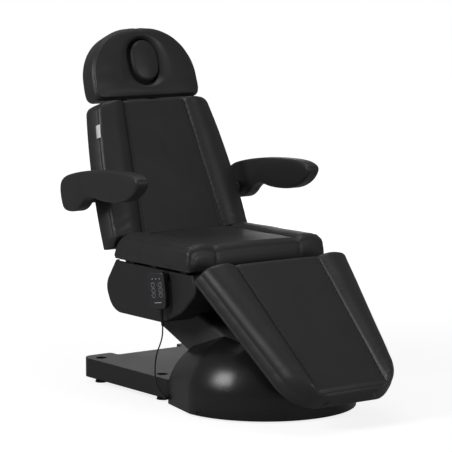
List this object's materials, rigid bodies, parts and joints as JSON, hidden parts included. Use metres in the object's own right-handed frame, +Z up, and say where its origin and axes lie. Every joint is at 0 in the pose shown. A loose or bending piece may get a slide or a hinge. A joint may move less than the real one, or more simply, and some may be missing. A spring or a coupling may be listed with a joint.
{
  "type": "beauty chair",
  "caption": "Powered beauty chair: padded seat, reclining back, leg rest, headrest with face hole and plug, swing-up armrests, lift arm on a dome and tray base, corded handset.",
  "frame": {"origin": "middle of the chair's box, on the floor", "axes": "+Z up from the floor, the sitter faces -Y, the handset hangs on the -X side"},
  "size_m": [0.8, 1.3324, 1.275],
  "materials": {
    "upholstery": "grained black artificial leather",
    "tray_steel": "black powder coat",
    "dome_plastic": "satin black moulding",
    "frame_steel": "black paint",
    "arm_steel": "matt black paint",
    "bright_steel": "zinc plated",
    "board_vinyl": "black vinyl over plywood",
    "rubber": "matt rubber",
    "housing_plastic": "textured black moulding",
    "actuator_casing": "moulded casing",
    "handset_plastic": "satin dark grey moulding",
    "button_plastic": "grey keys"
  },
  "bodies": {
    "base": {"base_tray": "tray_steel", "base_rails": "frame_steel", "levelling_feet": "rubber", "foot_studs": "bright_steel", "mains_gland": "actuator_casing", "dome_cover": "dome_plastic", "control_box": "actuator_casing", "pivot_brackets": "frame_steel", "lift_pivot_pins": "bright_steel", "lift_clevis": "frame_steel", "cord_boot": "rubber", "cord_lower": "rubber"},
    "lift_arm": {"lift_arm_frame": "frame_steel", "arm_cover": "arm_steel"},
    "lower_link": {"lower_link": "frame_steel"},
    "lift_motor": {"lift_actuator_body": "actuator_casing"},
    "lift_ram": {"lift_actuator_rod": "bright_steel"},
    "seat_carrier": {"carriage_plates": "frame_steel", "upper_pivot_pins": "bright_steel", "seat_frame": "frame_steel", "seat_clevises": "frame_steel", "seat_board": "board_vinyl", "seat_cushion": "upholstery", "housing_cover": "housing_plastic", "handset_hook": "frame_steel", "back_hinge_pins": "bright_steel", "leg_hinge_pins": "bright_steel", "cord_upper": "rubber"},
    "backrest": {"back_frame": "frame_steel", "back_board": "board_vinyl", "back_cushion": "upholstery", "armrest_axles": "bright_steel", "head_hinge_bracket": "frame_steel", "head_hinge_pin": "bright_steel"},
    "back_motor": {"back_actuator_body": "actuator_casing"},
    "back_ram": {"back_actuator_rod": "bright_steel"},
    "legrest": {"leg_frame": "frame_steel", "leg_board": "board_vinyl", "leg_cushion": "upholstery"},
    "leg_motor": {"leg_actuator_body": "actuator_casing"},
    "leg_ram": {"leg_actuator_rod": "bright_steel"},
    "headrest": {"headrest_board": "board_vinyl", "headrest_cushion": "upholstery", "headrest_arms": "frame_steel"},
    "face_plug": {"face_plug": "upholstery"},
    "armrest_near": {"armrest_pad_near": "upholstery", "armrest_hub_near": "housing_plastic"},
    "armrest_far": {"armrest_pad_far": "upholstery", "armrest_hub_far": "housing_plastic"},
    "handset": {"handset_front": "handset_plastic", "handset_back": "handset_plastic", "handset_clip": "handset_plastic", "strain_relief": "rubber"},
    "button_1": {"button_1": "button_plastic"},
    "button_2": {"button_2": "button_plastic"},
    "button_3": {"button_3": "button_plastic"},
    "button_4": {"button_4": "button_plastic"},
    "button_5": {"button_5": "button_plastic"},
    "button_6": {"button_6": "button_plastic"}
  },
  "joints": [
    {"name": "lift", "type": "hinge", "parent": "base", "child": "lift_arm", "pos_m": [0, -0.2261, 0.183], "axis": [1, 0, 0], "range_deg": [0, 36], "deforming": ["cord_lower", "cord_upper"]},
    {"name": "carrier_level", "type": "hinge", "parent": "lift_arm", "child": "seat_carrier", "pos_m": [0, 0.21892, 0.361], "axis": [1, 0, 0], "range_deg": [-36, 0]},
    {"name": "lower_link_swing", "type": "hinge", "parent": "base", "child": "lower_link", "pos_m": [0, -0.2261, 0.113], "axis": [1, 0, 0], "range_deg": [0, 36]},
    {"name": "lift_motor_tilt", "type": "hinge", "parent": "base", "child": "lift_motor", "pos_m": [0, -0.0661, 0.104], "axis": [1, 0, 0], "range_deg": [0, 35.83]},
    {"name": "lift_ram_slide", "type": "slide", "parent": "lift_motor", "child": "lift_ram", "axis": [0, 0.6921, 0.7218], "range_m": [0, 0.11029]},
    {"name": "back_recline", "type": "hinge", "parent": "seat_carrier", "child": "backrest", "pos_m": [0, 0.3389, 0.495], "axis": [-1, 0, 0], "range_deg": [0, 66]},
    {"name": "back_motor_tilt", "type": "hinge", "parent": "seat_carrier", "child": "back_motor", "pos_m": [0.042, -0.0161, 0.41], "axis": [1, 0, 0], "range_deg": [0, 0.6536]},
    {"name": "back_ram_slide", "type": "slide", "parent": "back_motor", "child": "back_ram", "axis": [0, 0.9958, 0.0917], "range_m": [-0.06524, 0]},
    {"name": "leg_raise", "type": "hinge", "parent": "seat_carrier", "child": "legrest", "pos_m": [0, -0.1511, 0.47], "axis": [-1, 0, 0], "range_deg": [0, 42]},
    {"name": "leg_motor_tilt", "type": "hinge", "parent": "seat_carrier", "child": "leg_motor", "pos_m": [-0.042, 0.1739, 0.418], "axis": [1, 0, 0], "range_deg": [0, 4.1]},
    {"name": "leg_ram_slide", "type": "slide", "parent": "leg_motor", "child": "leg_ram", "axis": [0, -0.9988, 0.0481], "range_m": [0, 0.03738]},
    {"name": "head_tilt", "type": "hinge", "parent": "backrest", "child": "headrest", "pos_m": [0, 0.56917, 0.98543], "axis": [-1, 0, 0], "range_deg": [0, 50]},
    {"name": "plug_pull", "type": "slide", "parent": "headrest", "child": "face_plug", "axis": [0, -0.9532, 0.3024], "range_m": [0, 0.11]},
    {"name": "armrest_raise_near", "type": "hinge", "parent": "backrest", "child": "armrest_near", "pos_m": [0, 0.44386, 0.67982], "axis": [-1, 0, 0], "range_deg": [0, 100]},
    {"name": "armrest_raise_far", "type": "hinge", "parent": "backrest", "child": "armrest_far", "pos_m": [0, 0.44386, 0.67982], "axis": [-1, 0, 0], "range_deg": [0, 100]},
    {"name": "handset_lift", "type": "slide", "parent": "seat_carrier", "child": "handset", "axis": [0, 0, 1], "range_m": [0, 0.01]},
    {"name": "button_press_1", "type": "slide", "parent": "handset", "child": "button_1", "axis": [0.9397, 0.342, 0], "range_m": [0, 0.001], "stiffness_N_per_m": 900},
    {"name": "button_press_2", "type": "slide", "parent": "handset", "child": "button_2", "axis": [0.9397, 0.342, 0], "range_m": [0, 0.001], "stiffness_N_per_m": 900},
    {"name": "button_press_3", "type": "slide", "parent": "handset", "child": "button_3", "axis": [0.9397, 0.342, 0], "range_m": [0, 0.001], "stiffness_N_per_m": 900},
    {"name": "button_press_4", "type": "slide", "parent": "handset", "child": "button_4", "axis": [0.9397, 0.342, 0], "range_m": [0, 0.001], "stiffness_N_per_m": 900},
    {"name": "button_press_5", "type": "slide", "parent": "handset", "child": "button_5", "axis": [0.9397, 0.342, 0], "range_m": [0, 0.001], "stiffness_N_per_m": 900},
    {"name": "button_press_6", "type": "slide", "parent": "handset", "child": "button_6", "axis": [0.9397, 0.342, 0], "range_m": [0, 0.001], "stiffness_N_per_m": 900}
  ],
  "couplings": [
    {"joint": "carrier_level", "follows": "lift", "ratio": -1},
    {"joint": "lower_link_swing", "follows": "lift", "ratio": 1},
    {"joint": "lift_motor_tilt", "follows": "lift", "ratio": 0.99525},
    {"joint": "lift_ram_slide", "follows": "lift", "m_per_rad": 0.17552},
    {"joint": "back_motor_tilt", "follows": "back_recline", "ratio": 0.009903},
    {"joint": "back_ram_slide", "follows": "back_recline", "m_per_rad": -0.056627},
    {"joint": "leg_motor_tilt", "follows": "leg_raise", "ratio": 0.097565},
    {"joint": "leg_ram_slide", "follows": "leg_raise", "m_per_rad": 0.050988}
  ]
}
